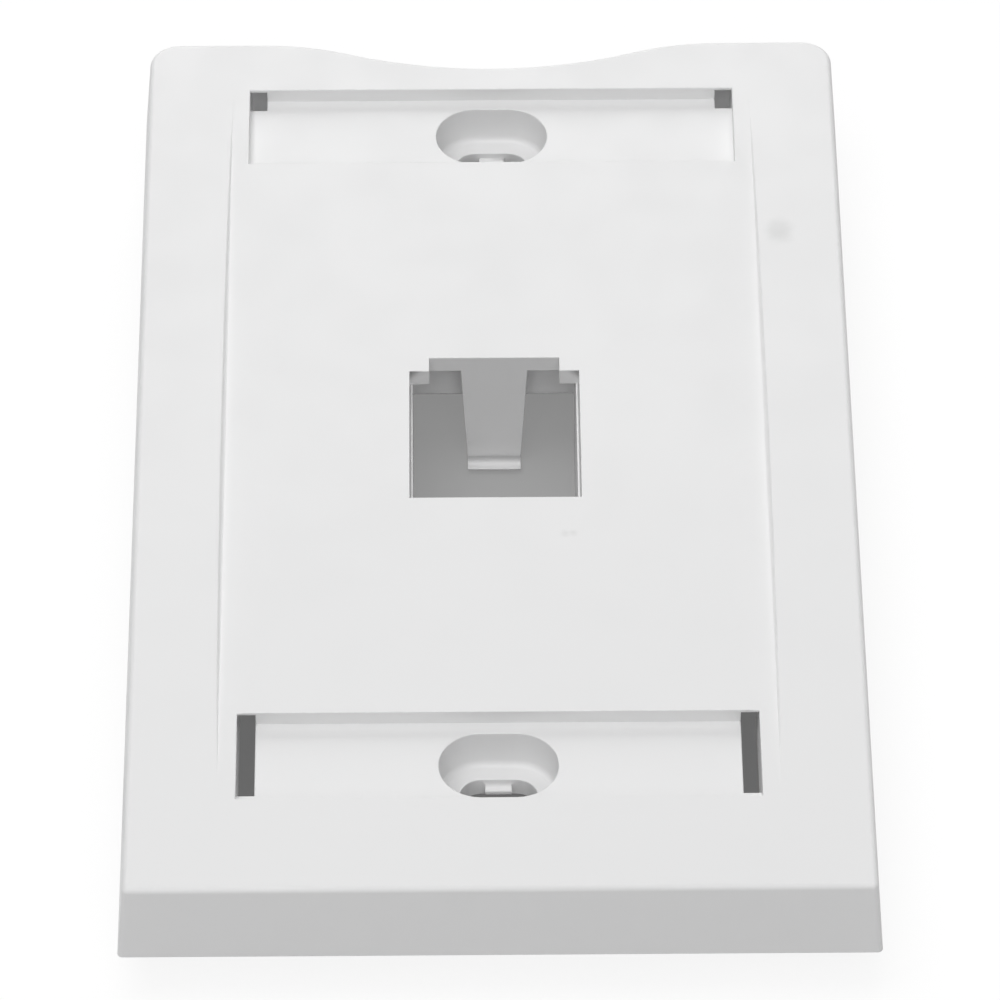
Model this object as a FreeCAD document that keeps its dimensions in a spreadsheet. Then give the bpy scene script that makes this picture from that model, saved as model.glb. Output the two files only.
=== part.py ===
import FreeCAD, Part
import math
import os
import Sketcher

# A one-piece moulded wall plate with one keystone port, for a single-gang box.
# Frame: X across the plate, Y up the wall, Z out of the wall. The origin lies midway
# between the two screws, in the plane of the wall that the rim bears on.

doc = FreeCAD.newDocument("keystone_faceplate")

# Driving dimensions, in millimetres and degrees
sizes = {
    "plateWidth": 69.0,
    "plateLength": 112.9,
    "plateDepth": 8.3,
    "outlineDrop": 2.09,  # the outline's centre lies this far below the screws' midpoint
    "wallDraft": 4.65,
    "skin": 1.8,
    "rimWall": 1.9,
    "edgeRound": 0.5,
    "topCorner": 3.5,
    "fingerDepth": 3.6,  # the finger notch in the top edge
    "fingerRadius": 44.8,
    "fingerBlend": 28.2,
    "dishWidth": 51.05,  # the shallow dish down the middle of the face
    "dishLength": 91.4,
    "dishDepth": 0.7,
    "dishRun": 6.5,
    "dishLean": 0.4,  # the dish's side walls lean out this far on their way up to the face
    "screwSpacing": 83.34,
    "labelWidth": 47.7,
    "labelHeight": 10.4,
    "labelDepth": 1.5,
    "hookSlotWidth": 1.65,  # slots for the hooks of a snap-in label cover
    "hookSlotShort": 1.3,
    "hookSlotEnd": 1.65,  # the long slots end this far above the pocket's lower wall
    "hookSlotLean": 0.15,  # their outer walls lean in this far on their way to the rear
    "hookLip": 0.35,  # the lip of the face that a hook catches behind
    "hookReach": 2.4,
    "recessWidth": 10.9,
    "recessHeight": 7.7,
    "recessRound": 0.6,
    "bossWall": 1.5,
    "screwWeb": 2.0,
    "bossGap": 0.6,  # the bosses and ribs stop this far short of the wall
    "screwHoleWidth": 7.1,
    "screwHoleHeight": 3.9,
    "tabWidth": 2.5,  # thin tabs that keep a screw from dropping out
    "tabLength": 0.85,
    "tabThickness": 0.5,
    "tabDrop": 0.65,
    "portWidth": 16.15,
    "portHeight": 16.7,
    "portNotchWidth": 12.4,
    "portNotchHeight": 1.76,
    "housingDepth": 14.2,  # from the face to the rear of the jack housing
    "housingWall": 1.5,
    "housingStep": 0.3,
    "latchRootWidth": 6.5,
    "latchTipWidth": 5.1,
    "latchThickness": 1.3,
    "latchBackGap": 1.5,
    "latchShort": 0.1,  # the latch ends this far short of the housing's rear
    "toothReach": 1.75,
    "toothThickness": 0.67,
    "toothTip": 0.2,
    "catchWidth": 10.0,  # the window that the jack's fixed lug hooks into
    "catchHeight": 3.0,
    "ribThickness": 1.2,
    "ribHeight": 2.2,
}

sheet = doc.addObject("Spreadsheet::Sheet", "sheet")
for row, (alias, value) in enumerate(sizes.items(), start=1):
    sheet.set(f"A{row}", alias)
    sheet.set(f"B{row}", str(value))
    sheet.setAlias(f"B{row}", alias)
doc.recompute()

body = doc.addObject("PartDesign::Body", "faceplate")
body.Label = "faceplate"

# Heights and places that several features share, as expressions of the sizes
face = "<plateDepth>"
underside = "(<plateDepth> - <skin>)"
midSkin = "(<plateDepth> - <skin> / 2)"
labelFloor = "(<plateDepth> - <labelDepth>)"
recessFloor = "(<bossGap> + <screwWeb>)"
housingRear = "(<plateDepth> - <housingDepth>)"
screwUp = "<screwSpacing> / 2"
portTop = "((<portHeight> + <portNotchHeight>) / 2)"
portStep = f"({portTop} - <portNotchHeight>)"
portBottom = f"(-{portTop})"
housingInside = "(<portWidth> / 2 - <housingStep>)"
housingSide = f"({housingInside} + <housingWall>)"
rearWall = f"({portTop} + <latchThickness> + <latchBackGap>)"
latchEnd = f"({housingRear} + <latchShort>)"
toothFace = f"({latchEnd} + <toothThickness>)"


def bound(text):
    """An expression with each named size read from the sheet."""
    return text.replace("<", "sheet.").replace(">", "")


def originPlane(role):
    return next(f for f in body.Origin.OriginFeatures if f.Role == role)


def newSketch(name, role="XY_Plane", offset="0"):
    """A sketch parallel to an origin plane, offset along that plane's normal."""
    sketch = body.newObject("Sketcher::SketchObject", name)
    sketch.AttachmentSupport = [(originPlane(role), "")]
    sketch.MapMode = "FlatFace"
    sketch.setExpression("AttachmentOffset.Base.z", bound(offset))
    return sketch


def drawnSize(sketch, kind, *ends):
    """What a dimension measures on the sketch as first drawn."""
    if kind == "Radius":
        return sketch.Geometry[ends[0]].Radius
    step = sketch.getPoint(*ends[2:]) - sketch.getPoint(*ends[:2])
    return step.x if kind == "DistanceX" else step.y


def constrain(sketch, kind, *ends, size=None):
    """A constraint, with its size bound to the sheet where one is given."""
    if size is None:
        sketch.addConstraint(Sketcher.Constraint(kind, *ends))
        return
    drawn = drawnSize(sketch, kind, *ends)
    index = sketch.addConstraint(Sketcher.Constraint(kind, *ends, drawn))
    sketch.setExpression(f"Constraints[{index}]", bound(size))


def addPolygon(sketch, corners):
    """A closed outline of straight lines through corners given as (x, y) expressions."""
    first = sketch.GeometryCount
    count = len(corners)
    ring = [math.tau * i / count for i in range(count + 1)]
    points = [FreeCAD.Vector(math.cos(a), math.sin(a), 0) for a in ring]
    for start, end in zip(points, points[1:]):
        sketch.addGeometry(Part.LineSegment(start, end))
    for i, (x, y) in enumerate(corners):
        constrain(sketch, "Coincident", first + (i - 1) % count, 2, first + i, 1)
        constrain(sketch, "DistanceX", -1, 1, first + i, 1, size=x)
        constrain(sketch, "DistanceY", -1, 1, first + i, 1, size=y)


def addBox(sketch, left, right, bottom, top):
    addPolygon(sketch, [(left, bottom), (right, bottom), (right, top), (left, top)])


def addSlot(sketch, width, height, up):
    """A slot with round ends, centred across the plate at the height up."""
    right = sketch.addGeometry(Part.ArcOfCircle(Part.Circle(
        FreeCAD.Vector(2, 0, 0), FreeCAD.Vector(0, 0, 1), 1), -math.pi / 2, math.pi / 2))
    left = sketch.addGeometry(Part.ArcOfCircle(Part.Circle(
        FreeCAD.Vector(-2, 0, 0), FreeCAD.Vector(0, 0, 1), 1), math.pi / 2, 3 * math.pi / 2))
    top = sketch.addGeometry(Part.LineSegment(FreeCAD.Vector(2, 1, 0), FreeCAD.Vector(-2, 1, 0)))
    bottom = sketch.addGeometry(Part.LineSegment(FreeCAD.Vector(-2, -1, 0), FreeCAD.Vector(2, -1, 0)))
    constrain(sketch, "Tangent", right, 2, top, 1)
    constrain(sketch, "Tangent", top, 2, left, 1)
    constrain(sketch, "Tangent", left, 2, bottom, 1)
    constrain(sketch, "Tangent", bottom, 2, right, 1)
    constrain(sketch, "Horizontal", top)
    constrain(sketch, "Horizontal", bottom)
    constrain(sketch, "Radius", right, size=f"{height} / 2")
    constrain(sketch, "DistanceX", -1, 1, right, 3, size=f"({width} - {height}) / 2")
    constrain(sketch, "DistanceX", left, 3, -1, 1, size=f"({width} - {height}) / 2")
    constrain(sketch, "DistanceY", -1, 1, right, 3, size=up)


def pad(name, sketch, length, reversed=False, midplane=False):
    feature = body.newObject("PartDesign::Pad", name)
    feature.Profile = sketch
    feature.setExpression("Length", bound(length))
    feature.Reversed = reversed
    feature.Midplane = midplane
    return feature


def pocket(name, sketch, length, reversed=False, midplane=False):
    feature = body.newObject("PartDesign::Pocket", name)
    feature.Profile = sketch
    feature.setExpression("Length", bound(length))
    feature.Reversed = reversed
    feature.Midplane = midplane
    return feature


def mirrored(name, originals, role):
    feature = body.newObject("PartDesign::Mirrored", name)
    feature.Originals = originals
    feature.MirrorPlane = (originPlane(role), [""])
    body.Tip = feature
    return feature


def outlineSketch(name, inset, insetSize):
    """The plate's outline with the finger notch in its top edge, drawn inward by a wall."""
    halfWidth = sizes["plateWidth"] / 2 - inset
    top = sizes["plateLength"] / 2 - sizes["outlineDrop"] - inset
    bottom = top - sizes["plateLength"] + 2 * inset
    corner = sizes["topCorner"] - inset
    notch = sizes["fingerRadius"] + inset
    blend = sizes["fingerBlend"] - inset
    rise = notch + blend - sizes["fingerDepth"]
    blendX = math.sqrt((notch + blend) ** 2 - rise ** 2)
    lean = math.atan2(blendX, rise)

    def line(x1, y1, x2, y2):
        return sketch.addGeometry(Part.LineSegment(FreeCAD.Vector(x1, y1, 0), FreeCAD.Vector(x2, y2, 0)))

    def arc(x, y, radius, start, end):
        circle = Part.Circle(FreeCAD.Vector(x, y, 0), FreeCAD.Vector(0, 0, 1), radius)
        return sketch.addGeometry(Part.ArcOfCircle(circle, start, end))

    sketch = newSketch(name)
    base = line(-halfWidth, bottom, halfWidth, bottom)
    right = line(halfWidth, bottom, halfWidth, top - corner)
    rightCorner = arc(halfWidth - corner, top - corner, corner, 0, math.pi / 2)
    rightTop = line(halfWidth - corner, top, blendX, top)
    rightBlend = arc(blendX, top - blend, blend, math.pi / 2, math.pi / 2 + lean)
    finger = arc(0, top - sizes["fingerDepth"] + notch, notch, 1.5 * math.pi - lean, 1.5 * math.pi + lean)
    leftBlend = arc(-blendX, top - blend, blend, math.pi / 2 - lean, math.pi / 2)
    leftTop = line(-blendX, top, corner - halfWidth, top)
    leftCorner = arc(corner - halfWidth, top - corner, corner, math.pi / 2, math.pi)
    left = line(-halfWidth, top - corner, -halfWidth, bottom)
    constrain(sketch, "Coincident", left, 2, base, 1)
    constrain(sketch, "Coincident", base, 2, right, 1)
    constrain(sketch, "Tangent", right, 2, rightCorner, 1)
    constrain(sketch, "Tangent", rightCorner, 2, rightTop, 1)
    constrain(sketch, "Tangent", rightTop, 2, rightBlend, 1)
    constrain(sketch, "Tangent", rightBlend, 2, finger, 2)
    constrain(sketch, "Tangent", finger, 1, leftBlend, 1)
    constrain(sketch, "Tangent", leftBlend, 2, leftTop, 1)
    constrain(sketch, "Tangent", leftTop, 2, leftCorner, 1)
    constrain(sketch, "Tangent", leftCorner, 2, left, 1)
    for flat in (base, rightTop, leftTop):
        constrain(sketch, "Horizontal", flat)
    for upright in (left, right):
        constrain(sketch, "Vertical", upright)
    constrain(sketch, "PointOnObject", finger, 3, -2)
    constrain(sketch, "Equal", leftBlend, rightBlend)
    constrain(sketch, "Equal", leftCorner, rightCorner)
    constrain(sketch, "Radius", rightCorner, size=f"<topCorner> - {insetSize}")
    constrain(sketch, "Radius", rightBlend, size=f"<fingerBlend> - {insetSize}")
    constrain(sketch, "Radius", finger, size=f"<fingerRadius> + {insetSize}")
    constrain(sketch, "DistanceX", -1, 1, right, 1, size=f"<plateWidth> / 2 - {insetSize}")
    constrain(sketch, "DistanceX", left, 2, -1, 1, size=f"<plateWidth> / 2 - {insetSize}")
    constrain(sketch, "DistanceY", -1, 1, base, 1, size=f"{insetSize} - <plateLength> / 2 - <outlineDrop>")
    topUp = f"<plateLength> / 2 - <outlineDrop> - {insetSize}"
    for flat in (rightTop, leftTop):
        constrain(sketch, "DistanceY", -1, 1, flat, 1, size=topUp)
    fingerUp = f"<fingerRadius> + {insetSize} - <fingerDepth>"
    constrain(sketch, "DistanceY", rightTop, 2, finger, 3, size=fingerUp)
    return sketch


# The drafted slab, hollowed from behind to a rim wall and a skin
slab = pad("slab", outlineSketch("outline", 0, "0"), face)
slab.setExpression("TaperAngle", bound("-<wallDraft>"))
hollowOutline = outlineSketch("hollowOutline", sizes["rimWall"], "<rimWall>")
hollow = pocket("hollow", hollowOutline, underside, reversed=True)
hollow.setExpression("TaperAngle", bound("-<wallDraft>"))
doc.recompute()


def levelEdges(shape, height):
    """Names of the edges that lie at one height."""
    return [f"Edge{i}" for i, edge in enumerate(shape.Edges, start=1)
            if abs(edge.BoundBox.ZMin - height) < 1e-6 and abs(edge.BoundBox.ZMax - height) < 1e-6]


def lowerCorners(shape):
    """Names of the two outside edges where the lower wall meets the side walls."""
    lowest = shape.BoundBox.YMin
    return [f"Edge{i}" for i, edge in enumerate(shape.Edges, start=1)
            if abs(edge.BoundBox.YMin - lowest) < 1e-6 and edge.BoundBox.ZLength > sizes["plateDepth"] / 2]


rounded = body.newObject("PartDesign::Fillet", "rounded")
rounded.Base = (hollow, levelEdges(hollow.Shape, sizes["plateDepth"]) + lowerCorners(hollow.Shape))
rounded.setExpression("Radius", bound("<edgeRound>"))
doc.recompute()

# The dish: a wedge beside each long edge, deepest at mid-length and running out at both ends
wedge = newSketch("wedge", "XZ_Plane")
dishRadius = "(<dishLength> ^ 2 / (8 * <dishDepth>))"
addPolygon(wedge, [
    ("<dishWidth> / 2", f"{face} - <dishDepth>"),
    ("<dishWidth> / 2 + 2 * <dishLean>", f"{face} + <dishDepth>"),
    ("<dishWidth> / 2 - 2 * <dishRun>", f"{face} + <dishDepth>"),
])
axle = wedge.addGeometry(Part.LineSegment(FreeCAD.Vector(0, 9, 0), FreeCAD.Vector(1, 9, 0)), True)
constrain(wedge, "Horizontal", axle)
constrain(wedge, "PointOnObject", axle, 1, -2)
constrain(wedge, "DistanceX", axle, 1, axle, 2, size="<dishRun>")
constrain(wedge, "DistanceY", -1, 1, axle, 1, size=f"{face} - <dishDepth> + {dishRadius}")
dishSide = body.newObject("PartDesign::Groove", "dishSide")
dishSide.Profile = wedge
dishSide.ReferenceAxis = (wedge, ["Axis0"])
dishSide.setExpression("Angle", bound(f"2 * asin(<dishLength> / {dishRadius})"))
dishSide.Midplane = True
dish = mirrored("dish", [dishSide], "YZ_Plane")
doc.recompute()

# One screw station: a label pocket backed by a pad, with a recessed screw hole in it
backing = newSketch("backingOutline", offset=f"{labelFloor} - <skin>")
addBox(backing, "-<labelWidth> / 2 - <skin>", "<labelWidth> / 2 + <skin>",
       f"{screwUp} - <labelHeight> / 2 - <skin>", f"{screwUp} + <labelHeight> / 2 + <skin>")
labelBacking = pad("labelBacking", backing, "<labelDepth> + <skin> / 2")

bossOutline = newSketch("bossOutline", offset="<bossGap>")
addSlot(bossOutline, "(<recessWidth> + 2 * <bossWall>)", "(<recessHeight> + 2 * <bossWall>)", screwUp)
boss = pad("boss", bossOutline, f"{labelFloor} - <skin> / 2 - <bossGap>")

labelOutline = newSketch("labelOutline", offset=labelFloor)
addBox(labelOutline, "-<labelWidth> / 2", "<labelWidth> / 2",
       f"{screwUp} - <labelHeight> / 2", f"{screwUp} + <labelHeight> / 2")
labelPocket = pocket("labelPocket", labelOutline, "<labelDepth>", reversed=True)

recessOutline = newSketch("recessOutline", offset=recessFloor)
addSlot(recessOutline, "<recessWidth>", "<recessHeight>", screwUp)
recess = pocket("recess", recessOutline, f"{labelFloor} - {recessFloor}", reversed=True)

holeOutline = newSketch("holeOutline", offset="<bossGap>")
addSlot(holeOutline, "<screwHoleWidth>", "<screwHoleHeight>", screwUp)
hole = pocket("hole", holeOutline, "<screwWeb>", reversed=True)

tabOutline = newSketch("tabOutline", offset=f"{recessFloor} - <tabDrop>")
holeTop = f"{screwUp} + <screwHoleHeight> / 2"
holeBottom = f"{screwUp} - <screwHoleHeight> / 2"
for low, high in ((f"{holeTop} - <tabLength>", f"{holeTop} + <bossWall> / 4"),
                  (f"{holeBottom} - <bossWall> / 4", f"{holeBottom} + <tabLength>")):
    addBox(tabOutline, "-<tabWidth> / 2", "<tabWidth> / 2", low, high)
tabs = pad("tabs", tabOutline, "<tabThickness>", reversed=True)
stations = mirrored("stations", [labelBacking, boss, labelPocket, recess, hole, tabs], "XZ_Plane")
doc.recompute()


def recessFoot(shape):
    """Names of the edges where the recess walls meet the recess floors."""
    floor = sizes["bossGap"] + sizes["screwWeb"]
    names = []
    for i, edge in enumerate(shape.Edges, start=1):
        box = edge.BoundBox
        reach = max(abs(abs(y) - sizes["screwSpacing"] / 2) for y in (box.YMin, box.YMax))
        off = abs(box.ZMin - floor) + box.ZLength + abs(reach - sizes["recessHeight"] / 2)
        if off < 1e-6:
            names.append(f"Edge{i}")
    return names


recessRound = body.newObject("PartDesign::Fillet", "recessRound")
recessRound.Base = (stations, recessFoot(stations.Shape))
recessRound.setExpression("Radius", bound("<recessRound>"))
doc.recompute()

# Hook slots at the ends of the label pockets, long below and short above. They run on
# behind each pocket's upper wall, so that a hook can catch behind the lip of the face.
slotOut = "<labelWidth> / 2"
slotIn = "(<labelWidth> / 2 - <hookSlotWidth>)"


def hookSlots(name, top, height):
    """A pair of slots that end a height below the pocket's upper wall."""
    outline = newSketch(f"{name}Outline", "XZ_Plane", f"{height} - ({top})")
    for side in ("-", ""):
        addPolygon(outline, [
            (f"{side}{slotIn}", f"{labelFloor} - <skin>"),
            (f"{side}({slotOut} - <hookSlotLean>)", f"{labelFloor} - <skin>"),
            (f"{side}{slotOut}", labelFloor),
            (f"{side}{slotOut}", f"{face} - <hookLip>"),
            (f"{side}{slotIn}", f"{face} - <hookLip>"),
        ])
    return pocket(name, outline, f"{height} + <hookReach>")


hookSlots("longHookSlots", f"<labelHeight> / 2 - {screwUp}", "(<labelHeight> - <hookSlotEnd>)")
hookSlots("shortHookSlots", f"{screwUp} + <labelHeight> / 2", "<hookSlotShort>")

# The jack housing behind the port, open to the rear
housingOutline = newSketch("housingOutline", offset=housingRear)
addBox(housingOutline, f"-{housingSide}", housingSide,
       f"{portBottom} - <housingWall>", f"{rearWall} + <housingWall>")
housing = pad("housing", housingOutline, "<housingDepth> - <skin> / 2")

wellOutline = newSketch("wellOutline", offset=housingRear)
addBox(wellOutline, f"-{housingInside}", housingInside, portBottom, rearWall)
well = pocket("well", wellOutline, "<housingDepth> - <skin>", reversed=True)

portOutline = newSketch("portOutline", offset=underside)
addPolygon(portOutline, [
    ("-<portWidth> / 2", portBottom),
    ("<portWidth> / 2", portBottom),
    ("<portWidth> / 2", portStep),
    ("<portNotchWidth> / 2", portStep),
    ("<portNotchWidth> / 2", portTop),
    ("-<portNotchWidth> / 2", portTop),
    ("-<portNotchWidth> / 2", portStep),
    ("-<portWidth> / 2", portStep),
])
port = pocket("port", portOutline, "<skin>", reversed=True)

# The wall behind the latch stops level with the bosses
shortWall = newSketch("shortWallOutline", offset=housingRear)
addBox(shortWall, f"-{housingSide}", housingSide, rearWall, f"{rearWall} + <housingWall>")
cutBack = pocket("cutBack", shortWall, f"<bossGap> - {housingRear}", reversed=True)

# The window in the lower wall that the jack's fixed lug hooks into
catchOutline = newSketch("catchOutline", offset=f"{underside} - <housingWall> - <catchHeight>")
addBox(catchOutline, "-<catchWidth> / 2", "<catchWidth> / 2", f"{portBottom} - <housingWall>", portBottom)
catch = pocket("catch", catchOutline, "<catchHeight>", reversed=True)

# The latch: a tapered tongue hanging from the skin, with a tooth at its tip
tongueOutline = newSketch("tongueOutline", "XZ_Plane", f"-{portTop} - <latchThickness>")
addPolygon(tongueOutline, [
    ("-<latchTipWidth> / 2", latchEnd),
    ("<latchTipWidth> / 2", latchEnd),
    ("<latchRootWidth> / 2", midSkin),
    ("-<latchRootWidth> / 2", midSkin),
])
tongue = pad("tongue", tongueOutline, "<latchThickness> + <toothReach>")
reliefOutline = newSketch("reliefOutline", "YZ_Plane")
addBox(reliefOutline, f"{portTop} - <toothReach>", portTop, toothFace, face)
relief = pocket("relief", reliefOutline, "<portNotchWidth>", midplane=True)
rampOutline = newSketch("rampOutline", "YZ_Plane")
addPolygon(rampOutline, [
    (portTop, latchEnd),
    (f"{portTop} - <toothReach>", f"{toothFace} - <toothTip>"),
    (f"{portTop} - <toothReach>", latchEnd),
])
ramp = pocket("ramp", rampOutline, "<portNotchWidth>", midplane=True)

# Ribs from the housing to the label backings
ribOutline = newSketch("ribOutline", offset=f"{underside} - <ribHeight>")
ribTop = f"{screwUp} - <labelHeight> / 2 - <skin> / 2"
for left, right in ((f"-{housingSide}", f"<ribThickness> - {housingSide}"),
                    (f"{housingSide} - <ribThickness>", housingSide)):
    addBox(ribOutline, left, right, f"{rearWall} + <housingWall> / 2", ribTop)
    addBox(ribOutline, left, right, f"-({ribTop})", f"{portBottom} - <housingWall> / 2")
ribs = pad("ribs", ribOutline, "<ribHeight> + <skin> / 2")
body.Tip = ribs
doc.recompute()

for item in doc.Objects:
    if "Invalid" in item.State or "Error" in item.State:
        raise RuntimeError(f"{item.Name}: {item.getStatusString()}")
if body.Shape.isNull() or not body.Shape.isValid() or len(body.Shape.Solids) != 1:
    raise RuntimeError("faceplate: not one valid solid")

os.makedirs("parts", exist_ok=True)
body.Shape.exportStep(f"parts/{body.Label}.step")
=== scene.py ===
import math
import bpy
import bmesh
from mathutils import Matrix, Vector


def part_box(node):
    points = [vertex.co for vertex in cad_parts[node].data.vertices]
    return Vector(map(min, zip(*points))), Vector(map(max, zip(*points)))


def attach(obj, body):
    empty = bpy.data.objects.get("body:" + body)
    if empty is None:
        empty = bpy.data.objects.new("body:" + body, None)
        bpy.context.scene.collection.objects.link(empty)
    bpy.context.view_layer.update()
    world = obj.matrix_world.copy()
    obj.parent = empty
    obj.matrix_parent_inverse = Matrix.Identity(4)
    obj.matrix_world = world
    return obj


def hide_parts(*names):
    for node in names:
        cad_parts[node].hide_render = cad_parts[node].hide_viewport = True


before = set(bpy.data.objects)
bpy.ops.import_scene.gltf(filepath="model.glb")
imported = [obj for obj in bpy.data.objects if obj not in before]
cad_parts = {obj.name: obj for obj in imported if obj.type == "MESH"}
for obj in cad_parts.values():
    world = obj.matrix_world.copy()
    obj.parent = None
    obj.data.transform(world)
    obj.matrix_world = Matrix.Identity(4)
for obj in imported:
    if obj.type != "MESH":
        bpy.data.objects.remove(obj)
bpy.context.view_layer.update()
print("frame loaded")

mm = 0.001
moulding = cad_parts["faceplate"]
plateLow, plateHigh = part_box("faceplate")
faceHeight = plateHigh.z

camera = {
    "azimuth": -0.50,      # degrees, 0 looks up the plate from its lower edge
    "elevation": 46.1,
    "distance": 696.76 * mm,
    "aimAcross": 0.40 * mm,
    "aimUp": -9.65 * mm,
    "lens": 267.3,         # millimetres
    "nearest": 10 * mm,    # what it sees lies between these two
    "furthest": 10.0,
}


def makeCamera():
    data = bpy.data.cameras.new("camera")
    data.lens = camera["lens"]
    data.clip_start = camera["nearest"]
    data.clip_end = camera["furthest"]
    eye = bpy.data.objects.new("camera", data)
    bpy.context.scene.collection.objects.link(eye)
    turn = math.radians(camera["azimuth"])
    lift = math.radians(camera["elevation"])
    back = Vector((math.sin(turn) * math.cos(lift), -math.cos(turn) * math.cos(lift), math.sin(lift)))
    aim = Vector((camera["aimAcross"], camera["aimUp"], faceHeight))
    eye.location = aim + back * camera["distance"]
    eye.rotation_euler = (-back).to_track_quat("-Z", "Y").to_euler()
    bpy.context.scene.camera = eye


makeCamera()
print("camera placed")

plastic = {
    "colour": (0.872, 0.872, 0.873, 1.0),
    "shade": (0.846, 0.846, 0.848, 1.0),     # the duller patches of a barely uneven white
    "patches": (22.0, 2.0),                  # how many to a metre, and their detail, as in the other patterns
    "roughness": (0.34, 0.46),               # from the smoothest to the dullest spots
    "roughnessPatches": (160.0, 3.0),
    "roughnessSpread": (0.3, 0.7),           # the noise values that reach those two ends
    "grain": (2600.0, 2.0),
    "grainHeight": 0.004 * mm,
    "ripple": (75.0, 0.0),                   # the slow waves that cooling leaves in a flat face
    "rippleHeight": 0.02 * mm,
    "dirt": (0.66, 0.665, 0.66, 1.0),
    "dirtGrain": 0.9,                        # patches in one radius of a smudge
    "dirtDetail": 3.0,
    "dirtFade": (0.55, 1.35),                # in radii, where a smudge starts to thin and where it ends
    "smudges": {
        "thumb": {"place": (27.6 * mm, 26.9 * mm, faceHeight), "radius": 2.3 * mm, "strength": 0.46},
        "thumbEdge": {"place": (27.9 * mm, 25.7 * mm, faceHeight), "radius": 1.9 * mm, "strength": 0.34},
        "speck": {"place": (6.5 * mm, -14.0 * mm, faceHeight), "radius": 0.8 * mm, "strength": 0.35},
        "speckEnd": {"place": (7.2 * mm, -13.9 * mm, faceHeight), "radius": 0.7 * mm, "strength": 0.4},
    },
}


def addNoise(tree, place, scale, detail):
    noise = tree.nodes.new("ShaderNodeTexNoise")
    noise.inputs["Scale"].default_value = scale
    noise.inputs["Detail"].default_value = detail
    tree.links.new(place, noise.inputs["Vector"])
    return noise.outputs["Fac"]


def addBump(tree, height, distance, under=None):
    bump = tree.nodes.new("ShaderNodeBump")
    bump.inputs["Distance"].default_value = distance
    tree.links.new(height, bump.inputs["Height"])
    if under:
        tree.links.new(under, bump.inputs["Normal"])
    return bump.outputs["Normal"]


def addMix(tree, amount, first, second):
    mix = tree.nodes.new("ShaderNodeMix")
    mix.data_type = "RGBA"
    tree.links.new(amount, mix.inputs["Factor"])
    for value, socket in ((first, mix.inputs[6]), (second, mix.inputs[7])):     # its two colour inputs
        if isinstance(value, tuple):
            socket.default_value = value
        else:
            tree.links.new(value, socket)
    return mix.outputs[2]     # and its colour output


def addRange(tree, value, fromLow, fromHigh, toLow, toHigh):
    step = tree.nodes.new("ShaderNodeMapRange")
    step.interpolation_type = "SMOOTHSTEP"
    for name, number in (("From Min", fromLow), ("From Max", fromHigh), ("To Min", toLow), ("To Max", toHigh)):
        step.inputs[name].default_value = number
    tree.links.new(value, step.inputs["Value"])
    return step.outputs["Result"]


def smudgeAmount(tree, place, smudge):     # fades from the middle of a smudge to its ragged edge
    away = tree.nodes.new("ShaderNodeVectorMath")
    away.operation = "DISTANCE"
    away.inputs[1].default_value = smudge["place"]
    tree.links.new(place, away.inputs[0])
    ragged = tree.nodes.new("ShaderNodeMath")
    ragged.operation = "MULTIPLY_ADD"
    ragged.inputs[1].default_value = smudge["radius"]
    noise = addNoise(tree, place, plastic["dirtGrain"] / smudge["radius"], plastic["dirtDetail"])
    tree.links.new(noise, ragged.inputs[0])
    tree.links.new(away.outputs["Value"], ragged.inputs[2])
    thins, ends = (radii * smudge["radius"] for radii in plastic["dirtFade"])
    return addRange(tree, ragged.outputs["Value"], thins, ends, smudge["strength"], 0.0)


def whitePlastic():
    material = bpy.data.materials.new("whitePlastic")
    material.use_nodes = True
    tree = material.node_tree
    shader = tree.nodes["Principled BSDF"]
    place = tree.nodes.new("ShaderNodeTexCoord").outputs["Object"]
    colour = addMix(tree, addNoise(tree, place, *plastic["patches"]), plastic["colour"], plastic["shade"])
    for smudge in plastic["smudges"].values():
        colour = addMix(tree, smudgeAmount(tree, place, smudge), colour, plastic["dirt"])
    tree.links.new(colour, shader.inputs["Base Color"])
    dullness = addNoise(tree, place, *plastic["roughnessPatches"])
    roughness = addRange(tree, dullness, *plastic["roughnessSpread"], *plastic["roughness"])
    tree.links.new(roughness, shader.inputs["Roughness"])
    slow = addBump(tree, addNoise(tree, place, *plastic["ripple"]), plastic["rippleHeight"])
    fine = addBump(tree, addNoise(tree, place, *plastic["grain"]), plastic["grainHeight"], slow)
    tree.links.new(fine, shader.inputs["Normal"])
    return material


plate = {
    "sameSpot": 0.001 * mm,       # corners nearer than this are one corner
    "flatWithin": 0.05,           # degrees between faces that lie in one plane
    "sharpFrom": 50.0,            # degrees between the faces of an edge that is broken
    "softness": 0.12 * mm,        # how far a moulded edge is broken
    "shareOfEdge": 0.4,           # of the shortest edge beside a chain, so that no face closes up
    "leastSoftness": 0.005 * mm,
    "steps": 2,
}


def edgeChains(edges):     # the sharp edges in groups that touch one another
    chains, taken, wanted = [], set(), set(edges)
    for start in edges:
        if start in taken:
            continue
        taken.add(start)
        chain = [start]
        for edge in chain:     # the chain grows as its neighbours are found
            for vert in edge.verts:
                for other in vert.link_edges:
                    if other in wanted and other not in taken:
                        taken.add(other)
                        chain.append(other)
        chains.append(chain)
    return chains


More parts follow.
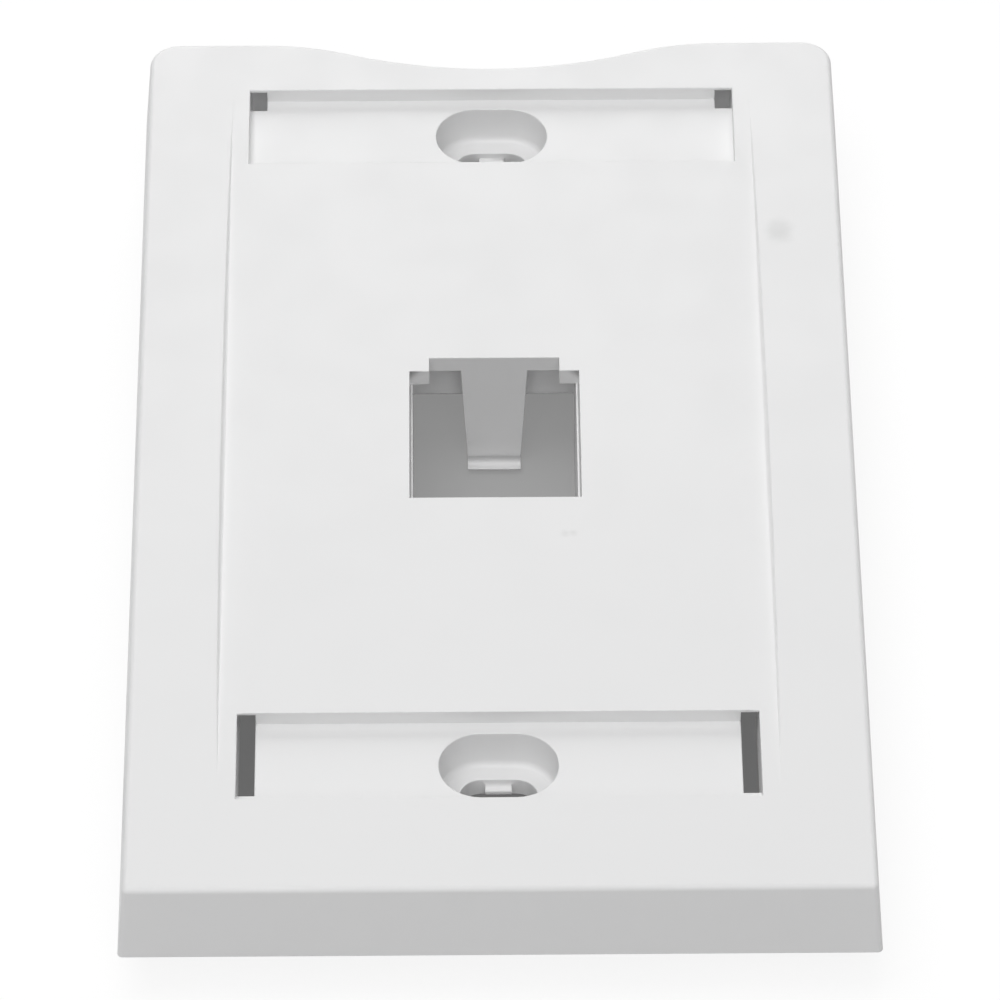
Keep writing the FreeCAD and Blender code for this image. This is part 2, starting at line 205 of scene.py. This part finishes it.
def makePlate():
    shape = bmesh.new()
    shape.from_mesh(moulding.data)
    bmesh.ops.remove_doubles(shape, verts=shape.verts, dist=plate["sameSpot"])
    bmesh.ops.dissolve_limit(shape, angle_limit=math.radians(plate["flatWithin"]), use_dissolve_boundaries=False,
                             verts=shape.verts, edges=shape.edges, delimit=set())
    sharpAngle = math.radians(plate["sharpFrom"])
    sharp = [edge for edge in shape.edges if edge.is_convex and edge.calc_face_angle(0.0) > sharpAngle]
    for chain in edgeChains(sharp):     # one at a time, so that a short edge narrows its own chain only
        shortest = min(near.calc_length() for edge in chain for vert in edge.verts for near in vert.link_edges)
        offset = min(plate["softness"], plate["shareOfEdge"] * shortest)
        if offset >= plate["leastSoftness"]:
            bmesh.ops.bevel(shape, geom=chain, offset=offset, offset_type="OFFSET", segments=plate["steps"],
                            profile=0.5, affect="EDGES", clamp_overlap=True, material=-1)
    for face in shape.faces:
        face.smooth = True
    mesh = bpy.data.meshes.new("dressedPlate")
    shape.to_mesh(mesh)
    shape.free()
    mesh.set_sharp_from_angle(angle=sharpAngle)
    mesh.materials.append(whitePlastic())
    piece = bpy.data.objects.new("dressedPlate", mesh)
    bpy.context.scene.collection.objects.link(piece)
    flatten = piece.modifiers.new("flatten", "WEIGHTED_NORMAL")
    flatten.keep_sharp = True
    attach(piece, "root")
    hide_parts("faceplate")


makePlate()
print("plate finished")

studio = {
    "floorSize": 4.0,
    "floorRoughness": 0.9,
    "floorColour": (0.7, 0.7, 0.7, 1.0),         # throws light back on the plate's sides
    "shadowColour": (0.16, 0.16, 0.16, 1.0),     # what the camera sees of the floor's own light and shade
    "paperGlow": (0.87, 0.87, 0.87, 1.0),        # brings the open floor up to white
    "underShadeColour": (0.35, 0.35, 0.35, 1.0),      # painted shade: the floor under the plate is darker for the light it bounces, so less reaches the port's insides
    "underHalfWidth": 28 * mm,
    "underHalfLength": 42 * mm,
    "underFade": 4 * mm,
    # painted shade: how bright the camera sees the floor under the plate, away from the port and behind it
    "underPaintedShade": 0.12,
    "portPaintedShade": 0.235,
    "portMiddle": (0.0, 14 * mm, plateLow.z),
    "portReach": 15 * mm,
    "noGlow": (0.0, 0.0, 0.0, 1.0),
    "skyStrength": 0.245,
    "lamps": {
        "overhead": {"place": (-0.22, 0.0, 1.26), "size": 0.8, "power": 4.3},
        "front": {"place": (0.0, -0.9, 0.9), "size": 0.8, "power": 3.5},
        "back": {"place": (0.0, 0.85, 0.5), "size": 0.5, "power": 2.7},
        "key": {"place": (-0.2, -0.35, 1.22), "size": 0.7, "power": 2.0},
    },
}


def seenDirectly(tree):     # 1 for the camera's rays and for reflections, 0 for the light that falls on things
    path = tree.nodes.new("ShaderNodeLightPath")
    seen = path.outputs["Is Camera Ray"]
    for name in ("Is Glossy Ray", "Is Transmission Ray"):
        either = tree.nodes.new("ShaderNodeMath")
        either.operation = "MAXIMUM"
        tree.links.new(seen, either.inputs[0])
        tree.links.new(path.outputs[name], either.inputs[1])
        seen = either.outputs["Value"]
    return seen


# the mask of the painted shade under the plate
def besidePlate(tree, place):     # 1 on the open floor, 0 under the plate
    size = tree.nodes.new("ShaderNodeVectorMath")
    size.operation = "ABSOLUTE"
    tree.links.new(place, size.inputs[0])
    parts = tree.nodes.new("ShaderNodeSeparateXYZ")
    tree.links.new(size.outputs["Vector"], parts.inputs["Vector"])
    outside = tree.nodes.new("ShaderNodeMath")
    outside.operation = "MAXIMUM"
    for index, half in enumerate((studio["underHalfWidth"], studio["underHalfLength"])):
        edge = addRange(tree, parts.outputs[index], half, half + studio["underFade"], 0.0, 1.0)
        tree.links.new(edge, outside.inputs[index])
    return outside.outputs["Value"]


def paintedShadeUnderPlate(tree, place):     # painted shade of the floor under the plate, brighter behind the port than behind the label slots
    away = tree.nodes.new("ShaderNodeVectorMath")
    away.operation = "DISTANCE"
    away.inputs[1].default_value = studio["portMiddle"]
    tree.links.new(place, away.inputs[0])
    reach = studio["portReach"]
    return addRange(tree, away.outputs["Value"], reach, 2 * reach, studio["portPaintedShade"], studio["underPaintedShade"])


def floorPaper():
    material = bpy.data.materials.new("floorPaper")
    material.use_nodes = True
    tree = material.node_tree
    shader = tree.nodes["Principled BSDF"]
    shader.inputs["Roughness"].default_value = studio["floorRoughness"]
    shader.inputs["Specular IOR Level"].default_value = 0.0
    shader.inputs["Emission Strength"].default_value = 1.0
    place = tree.nodes.new("ShaderNodeTexCoord").outputs["Object"]
    seen = seenDirectly(tree)
    beside = besidePlate(tree, place)
    # the floor's colour for bounced light, darker under the plate as painted shade
    paper = addMix(tree, beside, studio["underShadeColour"], studio["floorColour"])
    tree.links.new(addMix(tree, seen, paper, studio["shadowColour"]), shader.inputs["Base Color"])
    # the open floor glows white; under the plate the glow is painted shade
    glow = addMix(tree, beside, paintedShadeUnderPlate(tree, place), studio["paperGlow"])
    tree.links.new(addMix(tree, seen, studio["noGlow"], glow), shader.inputs["Emission Color"])
    sides = tree.nodes.new("ShaderNodeMixShader")     # clear from below, so that it doesn't hide the plate's back
    clear = tree.nodes.new("ShaderNodeBsdfTransparent")
    tree.links.new(tree.nodes.new("ShaderNodeNewGeometry").outputs["Backfacing"], sides.inputs["Fac"])
    tree.links.new(shader.outputs["BSDF"], sides.inputs[1])
    tree.links.new(clear.outputs["BSDF"], sides.inputs[2])
    tree.links.new(sides.outputs["Shader"], tree.nodes["Material Output"].inputs["Surface"])
    return material


def makeFloor():
    shape = bmesh.new()
    bmesh.ops.create_grid(shape, x_segments=1, y_segments=1, size=studio["floorSize"] / 2)
    bmesh.ops.translate(shape, verts=shape.verts, vec=(0, 0, plateLow.z))
    mesh = bpy.data.meshes.new("floor")
    shape.to_mesh(mesh)
    shape.free()
    mesh.materials.append(floorPaper())
    floor = bpy.data.objects.new("floor", mesh)
    bpy.context.scene.collection.objects.link(floor)


def makeLight():
    world = bpy.data.worlds.new("world")
    bpy.context.scene.world = world
    world.use_nodes = True
    tree = world.node_tree
    sky = tree.nodes["Background"]
    sky.inputs["Color"].default_value = (1.0, 1.0, 1.0, 1.0)
    level = addRange(tree, seenDirectly(tree), 0.0, 1.0, studio["skyStrength"], 1.0)
    tree.links.new(level, sky.inputs["Strength"])
    for name, settings in studio["lamps"].items():
        data = bpy.data.lights.new(name, "AREA")
        data.shape = "SQUARE"
        data.size = settings["size"]
        data.energy = settings["power"]
        lamp = bpy.data.objects.new(name, data)
        bpy.context.scene.collection.objects.link(lamp)
        lamp.location = settings["place"]
        lamp.rotation_euler = (-lamp.location).to_track_quat("-Z", "Y").to_euler()     # aimed at the plate


makeFloor()
makeLight()
bpy.context.scene.view_settings.view_transform = "Standard"
print("studio lit")
